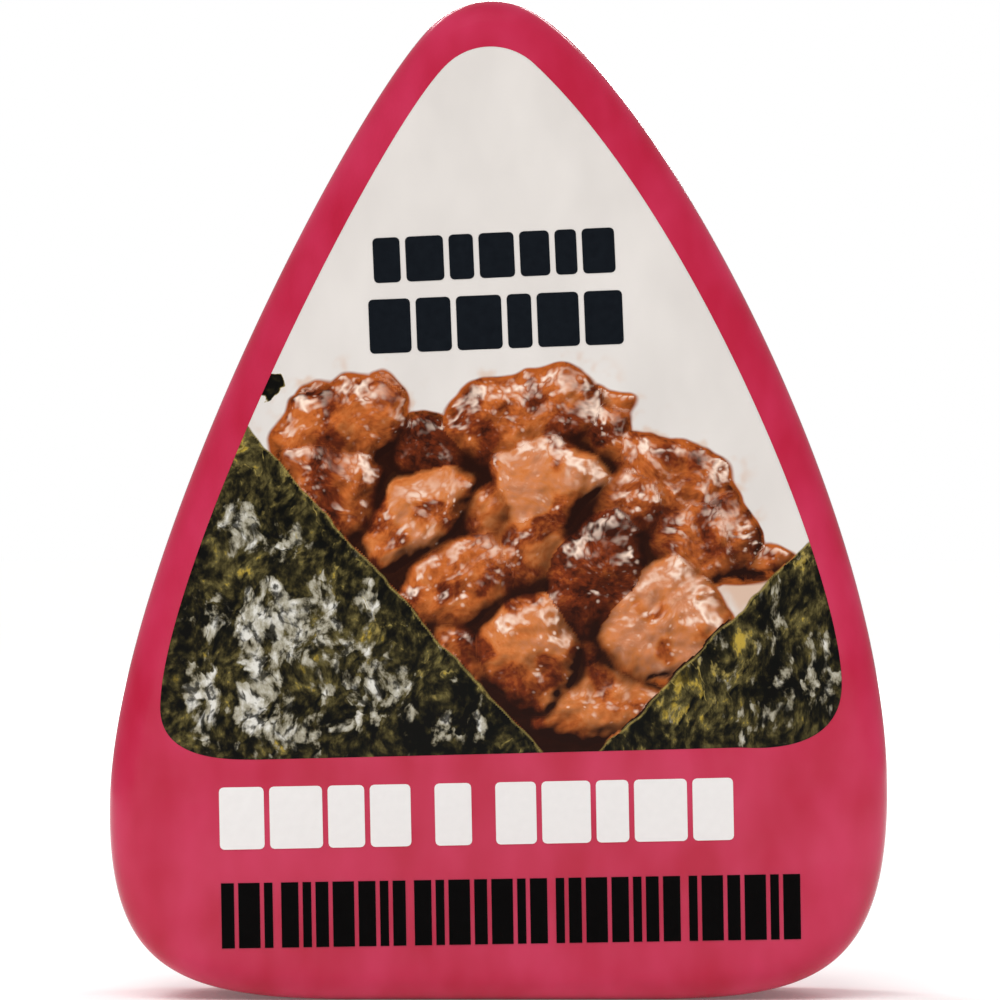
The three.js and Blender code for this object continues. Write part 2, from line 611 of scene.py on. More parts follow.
@dataclass(frozen=True)
class PrintedFilm:
    """Gravure-printed polypropylene film, drawn tight over rice.

    The ink lies under the film, so it has the film's gloss. The eye sees a full, even crimson
    with soft paler and deeper clouds, which are painted sheen and painted shade, and where the
    film is slack, facets with crisp ridges between them.
    """

    # pale and deep: the painted sheen and the painted shade of the crimson's clouds
    pale: str = "#c92c54"
    deep: str = "#b9143a"
    crinkle_mm: float = 3.0
    crinkle_rise: float = 0.02
    facet_mm: float = 6.5
    facet_rise_mm: float = 1.7
    smoothest: float = 0.13
    roughest: float = 0.22
    ior: float = 1.49

    def make(self) -> Material:
        """Builds the finish.

        Returns:
            The new material.
        """
        material, node = new_material("printed_polypropylene_film")
        place = node("TexCoord").outputs["Object"]
        crinkle = node("TexNoise", (place, 1 / (self.crinkle_mm * MM), 1.0, 0.4))
        gloss = node("MapRange", (crinkle, 0.3, 0.7, self.smoothest, self.roughest))
        drawn = node("Mapping", {"Vector": place, "Scale": (1.0, 0.3, 1.0)})
        facets = node("TexNoise", (drawn, 1 / (self.facet_mm * MM), 1.0, 0.35))
        centred = node("Math", (facets, 0.5), operation="SUBTRACT")
        ridges = node("Math", (centred,), operation="ABSOLUTE")
        slack = node("Attribute", attribute_name="slack").outputs["Fac"]
        folded = node("Math", (ridges, slack), operation="MULTIPLY")
        relief = node("Math", (crinkle, self.crinkle_rise, folded), operation="MULTIPLY_ADD")
        shader = node("BsdfPrincipled", {
            # painted light: the crimson's soft clouds of sheen and shade
            "Base Color": painted_light_clouds(node, place, self.deep, self.pale),
            "Roughness": gloss,
            "IOR": self.ior,
            "Normal": node("Bump", {
                "Height": relief, "Strength": 0.7, "Distance": self.facet_rise_mm * MM,
            }),
            "Specular IOR Level": 0.4,
        })
        node("OutputMaterial", (shader,))
        return material


@dataclass(frozen=True)
class OpaqueInk:
    """A solid ink printed over the film, dull against the film's own gloss."""

    name: str
    full: str
    worn: str
    roughness: float
    gloss: float
    grain_mm: float = 0.8

    def make(self) -> Material:
        """Builds the finish.

        Returns:
            The new material.
        """
        material, node = new_material(self.name)
        shader = node("BsdfPrincipled", {
            "Base Color": grained(node, self.grain_mm, self.full, self.worn),
            "Roughness": self.roughness,
            "Specular IOR Level": self.gloss,
        })
        node("OutputMaterial", (shader,))
        return material


@dataclass(frozen=True)
class StudioPaper:
    """Matt white background paper, with the faint tooth of its fibres."""

    pale: str = "#fcfcfb"
    deep: str = "#f7f7f6"
    tooth_mm: float = 1.2
    glow: float = 0.1

    def make(self) -> Material:
        """Builds the finish.

        Returns:
            The new material.
        """
        material, node = new_material("studio_paper")
        shader = node("BsdfPrincipled", {
            "Base Color": grained(node, self.tooth_mm, self.deep, self.pale),
            "Roughness": 0.9,
            "Specular IOR Level": 0.1,
            "Emission Color": "#ffffff",
            "Emission Strength": self.glow,
        })
        node("OutputMaterial", (shader,))
        return material


@dataclass(frozen=True)
class PicturedFood:
    """The colours of what the picture shows, worked out at each of its spots.

    own is the place in a thing's own grain, tone and gloss are what the mesh says, reached is
    how much light falls there, and shining how squarely the form faces what glints on it.
    """

    node: NodeMaker
    own: NodeSocket
    tone: NodeSocket
    gloss: NodeSocket
    reached: Node
    shining: Node

    def meat(self, distance: NodeSocket) -> Node:
        """The glazed chunks: red-brown to tan meat under a wet brown sauce with white glints.

        Args:
            distance: the signed distance to the heap's edge.

        Returns:
            The heap's colour.
        """
        node = self.node
        mottle = node("TexNoise", {
            "Vector": self.own, "Scale": 1 / 1.8, "Detail": 3.5, "Roughness": 0.66, "Distortion": 0.4,
        })
        grit = node("TexNoise", (self.own, 1 / 0.42, 1.0, 0.5))
        spread = node("Math", (mottle, 0.7, -0.35), operation="MULTIPLY_ADD")
        grainy = node("Math", (grit, 0.3, spread), operation="MULTIPLY_ADD")
        coarse = node("Math", (grainy, 0.11), operation="SUBTRACT")
        hue = node("Math", (self.tone, coarse), operation="ADD")
        flesh = node("ValToRGB", (hue,), stops=[
            (0.02, "#3a1408"), (0.98, "#e3a680"), (0.2, "#7c3213"),
            (0.42, "#c2652b"), (0.6, "#d27d43"), (0.78, "#d0855c"),
        ])
        uneven = node("Math", (spread, 4.0, distance), operation="MULTIPLY_ADD")
        thin = node("MapRange", (uneven, -1.1, 0.1, 0.0, 0.75), **SOFT_STEP)
        with_sauce = node("Mix", (thin, flesh, "#b65a1e"), **COLOURS)
        bright = node("MapRange", (self.reached, -0.02, 0.88))
        let_through = node("Math", (bright, thin), operation="MAXIMUM")
        shaded = node("Mix", (let_through, "#200802", with_sauce), **COLOURS)
        shine = node("MapRange", (self.shining, 0.94, 1.0))
        sharp = node("Math", (shine, 2.4), operation="POWER")
        either = node("Math", (sharp, self.drops()), operation="MAXIMUM")
        shine_here = node("Math", (either, self.gloss), operation="MULTIPLY")
        return node("Mix", (shine_here, shaded, "#ffe4d0"), **COLOURS)

    def drops(self) -> Node:
        """Small round glints of uneven size, where the glaze faces the light well enough.

        Returns:
            From 0 to 1, in a glint.
        """
        node = self.node
        cells = node("TexVoronoi", (self.own, 1 / 0.8))
        size = node("SeparateXYZ", (cells.outputs["Color"],))
        shrunk = node("Math", (size, -0.22, cells), operation="MULTIPLY_ADD")
        round_spot = node("MapRange", (shrunk, 0.12, -0.16, 0.0, 0.7), **SOFT_STEP)
        well_lit = node("MapRange", (self.shining, 0.72, 0.93), **SOFT_STEP)
        return node("Math", (round_spot, well_lit), operation="MULTIPLY")

    def nori(self, distance: NodeSocket) -> Node:
        """A seaweed sheet: near-black green with olive thin spots and crinkled pale glints.

        Args:
            distance: the signed distance to the sheet's edge.

        Returns:
            The sheet's colour.
        """
        node = self.node
        mottle = node("TexNoise", (self.own, 1 / 1.1, 3.0, 0.6))
        spread = node("Math", (mottle, 2.2, -1.1), operation="MULTIPLY_ADD")
        hue = node("Math", (self.tone, spread), operation="ADD")
        body = node("ValToRGB", (hue,), stops=[
            (0.05, "#070603"), (0.98, "#b59a3e"), (0.3, "#231f0e"), (0.52, "#463e20"), (0.75, "#675d35"),
        ])
        bright = node("MapRange", (self.reached, -0.1, 0.75))
        shaded = node("Mix", (bright, "#050603", body), **COLOURS)
        warp = node("TexNoise", (self.own, 1 / 1.8, 2.0, 0.6)).outputs["Color"]
        place = node("VectorMath", (warp, (3.0, 3.0, 0.0), self.own), operation="MULTIPLY_ADD")
        flakes = node("TexVoronoi", {
            "Vector": place, "Scale": 1 / 1.5, "Smoothness": 0.2,
        }, feature="SMOOTH_F1")
        flake = node("SeparateXYZ", (flakes.outputs["Color"],))
        tilted = node("Math", (flake, 0.26, -0.12), operation="MULTIPLY_ADD")
        crumple = node("TexNoise", (self.own, 1 / 1.3, 3.0, 0.62))
        rough = node("Math", (crumple, 0.8, tilted), operation="MULTIPLY_ADD")
        raised = node("Math", (self.gloss, 0.36, rough), operation="MULTIPLY_ADD")
        gleam = node("ValToRGB", (raised,), stops=[
            (0.64, "#5c5338"), (0.92, "#dedbd2"), (0.78, "#a8a28f"),
        ])
        cover = node("MapRange", (raised, 0.61, 0.75), **SOFT_STEP)
        seams = node("TexVoronoi", (place, 1 / 1.5), feature="DISTANCE_TO_EDGE")
        broken_seam = node("Math", (mottle, 1.2, seams), operation="MULTIPLY_ADD")
        apart = node("MapRange", (broken_seam, 0.52, 0.8, 0.1), **SOFT_STEP)
        pierced = node("Math", (cover, apart), operation="MULTIPLY")
        glinting = node("Mix", (pierced, shaded, gleam), **COLOURS)
        rim = node("MapRange", (distance, -0.32, -0.1), **SOFT_STEP)
        threads = self.threads(distance, hue)
        pale = node("Math", (rim, threads), operation="MAXIMUM")
        broken = node("MapRange", (mottle, 0.4, 0.58, 0.0, 0.85))
        pale_here = node("Math", (pale, broken), operation="MULTIPLY")
        return node("Mix", (pale_here, glinting, "#a3904f"), **COLOURS)

    def threads(self, distance: NodeSocket, hue: Node) -> Node:
        """Pale threads of weed that run in loops, where a sheet is thin near its edge.

        Args:
            distance: the signed distance to the sheet's edge.
            hue: how thin the sheet is.

        Returns:
            From 0 to 1, on a thread.
        """
        node = self.node
        loops = node("TexNoise", (self.own, 1 / 2.6, 3.0, 0.4))
        centred = node("Math", (loops, 0.54), operation="SUBTRACT")
        away = node("Math", (centred,), operation="ABSOLUTE")
        line = node("MapRange", (away, 0.02, 0.004), **SOFT_STEP)
        near = node("MapRange", (distance, -6.0, -3.0), **SOFT_STEP)
        here = node("Math", (line, near), operation="MULTIPLY")
        thin = node("MapRange", (hue, 0.4, 0.8))
        return node("Math", (here, thin), operation="MULTIPLY")


@dataclass(frozen=True)
class PicturePrint:
    """The window's printed picture: a glazed heap and two seaweed sheets on white.

    The mesh says where each field lies, how the pictured forms lean and how much of the
    picture's own light, which falls from the upper left, reaches them.
    """

    light: Direction = (-0.45, 0.62, 0.64)
    glint: Direction = (-0.24, 0.9, 0.36)
    side_glint: Direction = (0.28, 0.91, 0.3)
    grain_mm: float = 0.85
    heap_softness: float = 0.18
    nori_softness: float = 0.1

    def make(self) -> Material:
        """Builds the finish.

        Returns:
            The new material.
        """
        material, node = new_material("picture_print_on_film")
        place = node("TexCoord").outputs["Object"]
        fields, facts, own = (
            node("Attribute", attribute_name=name).outputs["Vector"] for name in ("fields", "facts", "own")
        )
        heap, nori, stain = node("SeparateXYZ", (fields,)).outputs
        light, tone, gloss = node("SeparateXYZ", (facts,)).outputs
        grain = node("TexNoise", (own, 1 / self.grain_mm, 1.0, 0.5))
        lit = self.facing(node, "lean", grain, 0.22, self.light)
        above = self.facing(node, "wet", grain, 0.85, self.glint)
        beside = self.facing(node, "wet", grain, 0.85, self.side_glint)
        food = PicturedFood(
            node, own, tone, gloss,
            reached=node("Math", (lit, light), operation="MULTIPLY"),
            shining=node("Math", (above, beside), operation="MAXIMUM"),
        )
        # painted light: the white field's soft clouds of sheen and shade
        white = painted_light_clouds(node, place, "#dbd5d0", "#e3ddd8")
        paper = node("Mix", (stain, white, "#cf9a70"), **COLOURS)
        in_heap = node("MapRange", (heap, self.heap_softness, -self.heap_softness), **SOFT_STEP)
        with_heap = node("Mix", (in_heap, paper, food.meat(heap)), **COLOURS)
        in_nori = node("MapRange", (nori, self.nori_softness, -self.nori_softness), **SOFT_STEP)
        picture = node("Mix", (in_nori, with_heap, food.nori(nori)), **COLOURS)
        crinkle = node("TexNoise", (place, 1 / (1.6 * MM), 3.0, 0.5))
        shader = node("BsdfPrincipled", {
            "Base Color": picture,
            "Roughness": 0.3,
            "IOR": 1.49,
            "Normal": node("Bump", {"Height": crinkle, "Strength": 0.1, "Distance": 0.15 * MM}),
            "Specular IOR Level": 0.1,
        })
        node("OutputMaterial", (shader,))
        return material

    def facing(self, node: NodeMaker, name: str, noise: Node, amount: float,
               towards: Direction) -> Node:
        """How squarely the pictured surface faces a direction, roughened by a noise.

        Args:
            node: adds a node to the material.
            name: the attribute that holds how the surface leans.
            noise: the noise that roughens it.
            amount: how much it does.
            towards: the direction.

        Returns:
            From -1, faced away, to 1.
        """
        lean = node("Attribute", attribute_name=name).outputs["Vector"]
        centred = node("VectorMath", (noise.outputs["Color"], (0.5,) * 3), operation="SUBTRACT")
        added = node("VectorMath", (centred, (amount,) * 3, lean), operation="MULTIPLY_ADD")
        unit = node("VectorMath", (added,), operation="NORMALIZE")
        return node("VectorMath", (unit, Vector(towards).normalized()), operation="DOT_PRODUCT")


# ---- The film ----------------------------------------------------------------------------


@dataclass(frozen=True)
class Crease:
    """A straight fold in the film, in two directions along it."""

    start: Place
    end: Place
    width: float
    depth: float

    def sink(self, u: Array, v: Array) -> Array:
        """How deep the fold lies at each place: it fades out towards both ends.

        Args:
            u: the places along the first direction.
            v: the places along the second one.

        Returns:
            The depth in millimetres.
        """
        run_u, run_v = self.end[0] - self.start[0], self.end[1] - self.start[1]
        length = math.hypot(run_u, run_v)
        du, dv = u - self.start[0], v - self.start[1]
        share = np.clip((du * run_u + dv * run_v) / length**2, 0, 1)
        aside = np.abs(du * run_v - dv * run_u) / length
        fading = np.sqrt(np.sin(math.pi * share))
        return self.depth * fading * np.clip(1 - aside / self.width, 0, 1) ** 2


def deepest(creases: Iterable[Crease], u: Array, v: Array) -> Array:
    """How deep the deepest of these folds lies at each place."""
    return np.max([crease.sink(u, v) for crease in creases], axis=0)


@dataclass(frozen=True)
class Gather:
    """A fan of folds over the wall and its back edge, where the film is gathered.

    at is its middle in X and Z, reach how far it spreads to each side of that along the
    outline, and slant how far a fold's ends stray.
    """

    at: Place
    count: int
    reach: float
    depth: float
    slant: float
    seed: int

    def folds(self, outline: Outline) -> Iterator[Crease]:
        """Scatters the folds.

        Args:
            outline: the outline that they run across.

        Yields:
            The folds, by how far along the outline and how far across the wall they run.
        """
        rng = np.random.default_rng(self.seed)
        numbers, _ = outline.nearest([self.at[0]], [self.at[1]])
        middle = outline.along[numbers[0]]
        for place in np.linspace(-1, 1, self.count):
            along = middle + self.reach * (place + rng.uniform(-0.9, 0.9) / self.count)
            front = (along + rng.normal(0, self.slant), rng.uniform(-7, 5))
            back = (along + rng.normal(0, self.slant), rng.uniform(17, 27))
            yield Crease(front, back, rng.uniform(1.0, 4.4), self.depth * rng.uniform(0.1, 1))


@dataclass(frozen=True)
class Fan:
    """Straight ridges in the film, running out from a point that holds it, in X and Z.

    heading and spread are in degrees, counted from +X towards +Z. reach is how far out the
    longest ridges end, and rise how high the highest stand.
    """

    at: Place
    heading: float
    spread: float
    count: int
    reach: float
    rise: float
    seed: int

    def ridges(self) -> Iterator[Crease]:
        """Scatters the ridges.

        Yields:
            The ridges, by their places in X and Z.
        """
        rng = np.random.default_rng(self.seed)
        for turn in np.linspace(-1, 1, self.count):
            strayed = turn + rng.uniform(-0.6, 0.6) / self.count
            angle = math.radians(self.heading + self.spread * strayed)
            run = self.reach * np.array([math.cos(angle), math.sin(angle)])
            near, far = rng.uniform(0, 0.25), rng.uniform(0.5, 1)
            start, end = np.array(self.at) + near * run, np.array(self.at) + far * run
            width, rise = rng.uniform(0.8, 1.7), self.rise * rng.uniform(0.4, 1)
            yield Crease(tuple(start), tuple(end), width, rise)


@dataclass(frozen=True)
class FilmWrap:
    """The film round the whole block: a drum set to the outline, rounded and drawn in.

    slackens is the stretch of Y over which the film goes from taut to slack. Over the other two
    stretches, both counted inwards from the outline, the wall's crumple gives way to the
    back's, and the back's ridges rise.
    """

    form: PackForm
    stations: int = 620
    edge_segments: int = 8
    wall_cuts: int = 25
    front_rings: int = 26
    back_rings: int = 58
    gathers: tuple[Gather, ...] = (
        Gather((-0.7, 99.9), 7, 11, 0.6, 1.2, 71),
        Gather((-34.5, 7.5), 8, 14, 0.7, 1.8, 72),
        Gather((34.5, 8.5), 8, 14, 0.7, 1.8, 73),
        Gather((-27, 60), 9, 26, 0.45, 4, 74),
        Gather((28, 60), 9, 26, 0.45, 4, 75),
    )
    pulls: tuple[Crease, ...] = (
        Crease((19, 15), (31, 37), 3.0, 0.4),
        Crease((21, 14), (36, 23), 2.6, 0.45),
        Crease((-19, 15), (-29, 38), 3.0, 0.4),
        Crease((-21, 14), (-36, 22), 2.6, 0.45),
        Crease((5, 91), (8, 66), 2.2, 0.3),
        Crease((-3, 91), (-7, 70), 2.2, 0.3),
    )
    fans: tuple[Fan, ...] = (
        Fan((6.5, 90), -68, 24, 5, 34, 0.28, 91),
        Fan((-4, 90), -112, 24, 5, 34, 0.28, 92),
        Fan((20.5, 16), 48, 50, 7, 26, 0.3, 93),
        Fan((-20.5, 16), 132, 50, 7, 26, 0.3, 94),
        Fan((6.5, 52), 0, 62, 6, 20, 0.2, 95),
        Fan((-3.5, 46), 180, 62, 6, 20, 0.2, 96),
    )
    seam_x: float = 1.5
    seam_pull: float = 0.22
    seam_reach: float = 9
    crumple: float = 0.17
    slackens: Place = (-9.5, 3)
    face_takes_over: Place = (3, 9)
    ridges_rise: Place = (0, 4)

    def build(self) -> Object:
        """Builds the film's mesh.

        Returns:
            The film, which has no material yet.
        """
        bpy.ops.mesh.primitive_cylinder_add(
            vertices=self.stations, radius=10 * MM, depth=2 * self.form.half * MM,
            end_fill_type="NGON", rotation=(math.pi / 2, 0, 0),
        )
        obj = fresh("film_wrap")
        self.set_to_outline(obj)
        self.round_and_divide(obj)
        self.swell(obj)
        self.fold(obj)
        select_only(obj)
        bpy.ops.object.shade_smooth()
        return obj

    def set_to_outline(self, obj: Object) -> None:
        """Moves the drum's vertices onto the outline, in the order of their angles.

        Args:
            obj: the round drum.
        """
        points = read_points(obj.data)
        step = 2 * math.pi / self.stations
        place = np.rint(np.arctan2(points[:, 2], points[:, 0]) / step).astype(int)
        points[:, [0, 2]] = self.form.outline.stations(self.stations)[place % self.stations]
        write_points(obj.data, points)

    def round_and_divide(self, obj: Object) -> None:
        """Rounds the drum's two rims, divides its wall and draws rings in on its faces.

        Args:
            obj: the drum.
        """
        with edit_mode(obj):
            pick(obj, "EDGE", lambda e: not spans_depth(e))
            bpy.ops.mesh.bevel(
                offset=self.form.edge_radius * MM, offset_type="OFFSET", affect="EDGES",
                segments=self.edge_segments, profile=0.5, clamp_overlap=False,
            )
            pick(obj, "EDGE", spans_depth)
            bpy.ops.mesh.subdivide(number_cuts=self.wall_cuts)
            self.draw_rings(obj, -self.form.half, self.front_rings)
            self.draw_rings(obj, self.form.half, self.back_rings)

    def draw_rings(self, obj: Object, depth: float, rings: int) -> None:
        """Draws rings in on one face, evenly down to its centre, and closes it there.

        Args:
            obj: the film in edit mode.
            depth: the face's Y.
            rings: how many rings it gets.
        """
        near = 0.01 * MM
        pick(obj, "FACE", lambda f: all(abs(v.co.y - depth * MM) < near for v in f.verts))
        x, z = self.form.outline.centre
        for ring in range(rings, 1, -1):
            share = (ring - 1) / ring
            bpy.ops.mesh.extrude_region_move()
            bpy.ops.transform.resize(
                value=(share, 1, share), center_override=(x * MM, depth * MM, z * MM)
            )
        bpy.ops.mesh.poke()

    def swell(self, obj: Object) -> None:
        """Crowns the two faces, thins the block towards its apex and sets its middle plane.

        Args:
            obj: the divided drum.
        """
        form = self.form
        points = read_points(obj.data)
        x, depth, z = points.T
        side = np.sign(depth)
        on_face = np.abs(depth) > form.half - 0.01
        swollen = depth + side * on_face * form.crown_at(x, z)
        front, back = (form.unevenness(x, z, face) for face in (Face.FRONT, Face.BACK))
        points[:, 1] = swollen * form.depth_share(z) + form.middle
        points[:, 1] += side * on_face * np.where(side < 0, front, back)
        write_points(obj.data, points)

    def fold(self, obj: Object) -> None:
        """Presses the film's folds and crumple in, and raises the ridges on its back.

        Args:
            obj: the smooth film.
        """
        form, points = self.form, read_points(obj.data)
        normals = np.empty(len(points) * 3, np.float32)
        obj.data.vertex_normals.foreach_get("vector", normals)
        x, y, z = points.T
        numbers, inset = form.outline.nearest(x, z)
        along = form.outline.along[numbers]
        across = y - form.middle + np.sign(y) * inset
        behind = y > form.wall / 2
        slack = smooth(y, *self.slackens)
        folds = (fold for gather in self.gathers for fold in gather.folds(form.outline))
        sink = np.maximum(deepest(folds, along, across), self.pulled(x, z) * behind)
        wall = self.crumpled(along, across, squeeze=0.5, sizes=(9, 4), seed=83)
        face = self.crumpled(x, z, squeeze=0.6, sizes=(12, 6), seed=85)
        sink += self.crumple * slack * (wall + smooth(inset, *self.face_takes_over) * (face - wall))
        ridges = (ridge for fan in self.fans for ridge in fan.ridges())
        sink -= deepest(ridges, x, z) * behind * smooth(inset, *self.ridges_rise)
        write_attribute(obj.data, "slack", np.repeat(slack[:, None], 3, axis=1))
        write_points(obj.data, points - normals.reshape(-1, 3) * sink[:, None])

    def pulled(self, x: Array, z: Array) -> Array:
        """How far the laps pull the back in: straight from their corners, uneven by the seam.

        Args:
            x: the places across.
            z: the places up.

        Returns:
            The distance at each place.
        """
        near_seam = np.exp(-np.abs(x - self.seam_x) / self.seam_reach) * smooth(z, 14, 22)
        long = gradient_noise(x, z, size=9, seed=81)
        short = gradient_noise(x / 6, z, size=2.6, seed=82)
        return deepest(self.pulls, x, z) + self.seam_pull * near_seam * np.abs(long + short)

    @staticmethod
    def crumpled(u: Array, v: Array, squeeze: float, sizes: Place, seed: int) -> Array:
        """Valleys with crisp floors: large ones, and small ones half as deep.

        Args:
            u: the places along the first direction.
            v: the places along the second one.
            squeeze: what the second direction is scaled by first, to draw the large ones out.
            sizes: how large the large and the small ones are.
            seed: the large ones' noise. The small ones have the next.

        Returns:
            How deep each place lies, as a share.
        """
        large = np.abs(gradient_noise(u, v * squeeze, size=sizes[0], seed=seed))
        return large + 0.5 * np.abs(gradient_noise(u, v, size=sizes[1], seed=seed + 1))


@dataclass(frozen=True)
class BackLap:
    """A lap of film sealed down on the back: four-cornered, crimped, with a saw-cut top.

    foot_ends and top_ends are the X of its corners. thick is how far it stands out from the
    back, and sunk how far it reaches in.
    """

    name: str
    foot: float
    top: float
    foot_ends: Place
    top_ends: Place
    thick: float
    sunk: float = 0.8
    rib_pitch: float = 1.3
    rib_rise: float = 0.13
    rib_margin: float = 1.2
    saw_pitch: float = 1.5
    saw_depth: float = 0.5
    cell: float = 0.3
    sharp_angle: float = 40
    slack: float = 0.5

    def build(self, form: PackForm) -> Object:
        """Builds the lap's mesh on the pack's back.

        Args:
            form: the pack's form.

        Returns:
            The lap, which has no material yet.
        """
        (foot_left, foot_right), (top_left, top_right) = self.foot_ends, self.top_ends
        bpy.ops.mesh.primitive_grid_add(
            x_subdivisions=round((foot_right - foot_left) / self.cell),
            y_subdivisions=round((self.top - self.foot) / self.cell),
            size=1 * MM, rotation=(-math.pi / 2, 0, 0),
        )
        obj = fresh(self.name)
        points = read_points(obj.data)
        u, v = points[:, 0] + 0.5, points[:, 2] + 0.5
        left, right = foot_left + v * (top_left - foot_left), foot_right + v * (top_right - foot_right)
        x, z = left + u * (right - left), self.foot + v * (self.top - self.foot)
        rim = np.minimum.reduce([x - left, right - x, z - self.foot, self.top - z])
        crimped = smooth(rim, self.rib_margin, self.rib_margin + 0.4)
        ribs = self.rib_rise * crimped * np.cos(z * 2 * math.pi / self.rib_pitch)
        saw = np.abs((x / self.saw_pitch) % 1 - 0.5) * 2
        cut = self.saw_depth * saw * smooth(z, self.top - 2, self.top)
        write_points(obj.data, np.column_stack([x, self.thick + ribs, z - cut]))
        write_attribute(obj.data, "slack", np.full_like(points, self.slack))
        with edit_mode(obj):
            close_below(obj, -self.thick - self.sunk)
        form.carry(obj, Face.BACK)
        bpy.ops.object.shade_smooth_by_angle(angle=math.radians(self.sharp_angle))
        return obj


@dataclass(frozen=True)
class PackFilm:
    """The crimson film and its laps on the back."""

    form: PackForm
    seam: BackLap = BackLap("back_seam", 6, 92, foot_ends=(-3, 6), top_ends=(-3, 6), thick=0.25)
    flap: BackLap = BackLap("end_flap", 4.2, 16, foot_ends=(-27, 27), top_ends=(-20, 20), thick=0.42)

    def build(self) -> None:
        """Builds and dresses the wrap, the seam and the flap."""
        finish = PrintedFilm().make()
        wrap = hand_over(FilmWrap(self.form).build(), finish)
        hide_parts("onigiri_pack")
        for lap in (self.seam, self.flap):
            hand_over(lap.build(self.form), finish)


# ---- The picture -------------------------------------------------------------------------


@dataclass(frozen=True)
class Chunk:
    """One pictured chunk: its place and half axes, and its turn in degrees.

    level is how far forward it lies in the heap, in millimetres, tone runs from 0, dark glaze,
    to 1, pale meat, and cut from 0, a round lump, to 1, a block with flat faces. straying is
    how far its edges wander, and bulge how high it stands, as a share of its short half axis.
    """

    x: float
    z: float
    long: float
    short: float
    turn: float
    level: float
    tone: float
    cut: float
    sides: int = 6
    straying: float = 0.6
    bulge: float = 0.66
    steepness: float = 2.5
    fibre: float = 0.07

    def relief(self, x: Array, z: Array, seed: int) -> tuple[Array, ...]:
        """The chunk's height, its signed distance, and places along and across it.

        Args:
            x: the picture's places across, in millimetres.
            z: the picture's places up, in millimetres.
            seed: which chunk it is.

        Returns:
            The height, which falls off steeply outside the chunk, the distance to its edge,
            and the places along and across it, all in millimetres.
        """
        rng = np.random.default_rng(seed)
        wobble = partial(layered_noise, x, z, size=4.2, layers=3, gain=0.38)
        dx = x - self.x + self.straying * wobble(seed=seed)
        dz = z - self.z + self.straying * wobble(seed=seed + 500)
        angle = math.radians(self.turn)
        along = dx * math.cos(angle) + dz * math.sin(angle)
        across = dz * math.cos(angle) - dx * math.sin(angle)
        u, v = along / self.long, across / self.short
        turns = 2 * math.pi * (np.arange(self.sides) + rng.uniform(-0.3, 0.3, self.sides)) / self.sides
        reaches = rng.uniform(0.8, 1.08, self.sides)
        planes = [np.maximum(u * math.cos(t) + v * math.sin(t), 0) / r for t, r in zip(turns, reaches)]
        sharp = 3 + 5 * self.cut
        reach = np.sum(np.power(planes, sharp), axis=0) ** (1 / sharp)
        dome = np.clip(1 - reach ** (2.6 - 0.6 * self.cut), 0, None) ** 0.65
        top = 0.72 + 0.3 * (1 - self.cut) + rng.uniform(-0.3, 0.3) * u + rng.uniform(-0.3, 0.3) * v
        rounded = -np.logaddexp(-9 * dome, -9 * top) / 9
        away = (reach - 1) * self.short
        fibres = self.fibre * gradient_noise(along * 0.6, across, size=1.0, seed=seed + 1)
        height = self.level + self.bulge * self.short * rounded
        height -= self.steepness * np.maximum(away, 0)
        return height + fibres, away, along, across


HEAP = (
    Chunk(-18.2, 59.4, 2.8, 2.0, 40, 0.3, 0.42, 1.0),
    Chunk(-11.4, 60.6, 2.6, 1.8, -30, 0.2, 0.40, 1.0),
    Chunk(9.8, 59.4, 3.4, 2.0, -8, 0.2, 0.42, 0.8),
    Chunk(-15.4, 57.0, 7.8, 5.2, 28, 0.6, 0.36, 0.3),
    Chunk(-6.4, 54.0, 5.6, 5.0, -35, -0.6, 0.1, 0.2),
    Chunk(2.0, 58.0, 8.4, 5.6, 14, 0.8, 0.36, 0.2),
    Chunk(10.4, 56.4, 5.2, 4.0, -30, 0.4, 0.34, 0.1),
    Chunk(17.2, 51.4, 7.6, 5.2, -30, 0.8, 0.32, 0.4),
    Chunk(22.4, 46.6, 4.0, 5.4, 16, 0.6, 0.30, 0.2),
    Chunk(26.6, 43.8, 5.0, 1.8, -10, 1.2, 0.46, 0.0),
    Chunk(-16.8, 51.0, 7.0, 5.4, -40, 1.6, 0.34, 0.5),
    Chunk(-8.4, 47.6, 7.4, 4.5, 40, 2.6, 0.62, 0.0),
    Chunk(4.4, 51.8, 6.0, 6.0, -24, 2.4, 0.66, 0.6),
    Chunk(12.6, 49.2, 5.6, 4.6, 38, 1.8, 0.30, 0.3),
    Chunk(19.2, 45.0, 6.2, 5.2, -20, 1.8, 0.34, 0.4),
    Chunk(-3.8, 41.6, 7.6, 5.2, 30, 2.6, 0.40, 0.5),
    Chunk(3.6, 45.0, 6.4, 4.2, 56, 3.0, 0.52, 0.6),
    Chunk(9.8, 42.6, 5.2, 7.2, -14, 3.4, 0.12, 0.6),
    Chunk(16.4, 37.4, 6.4, 7.0, 16, 3.6, 0.71, 0.8),
    Chunk(3.6, 35.4, 5.4, 6.8, -34, 3.4, 0.56, 0.3),
    Chunk(10.8, 29.6, 8.4, 4.8, 12, 2.4, 0.50, 0.1),
    Chunk(-3.6, 35.0, 3.6, 4.6, 40, 1.8, 0.34, 0.2),
    Chunk(-0.4, 49.2, 4.6, 3.2, 64, 1.9, 0.46, 0.1),
    Chunk(8.2, 35.6, 3.0, 3.6, 20, 2.2, 0.2, 0.2),
)


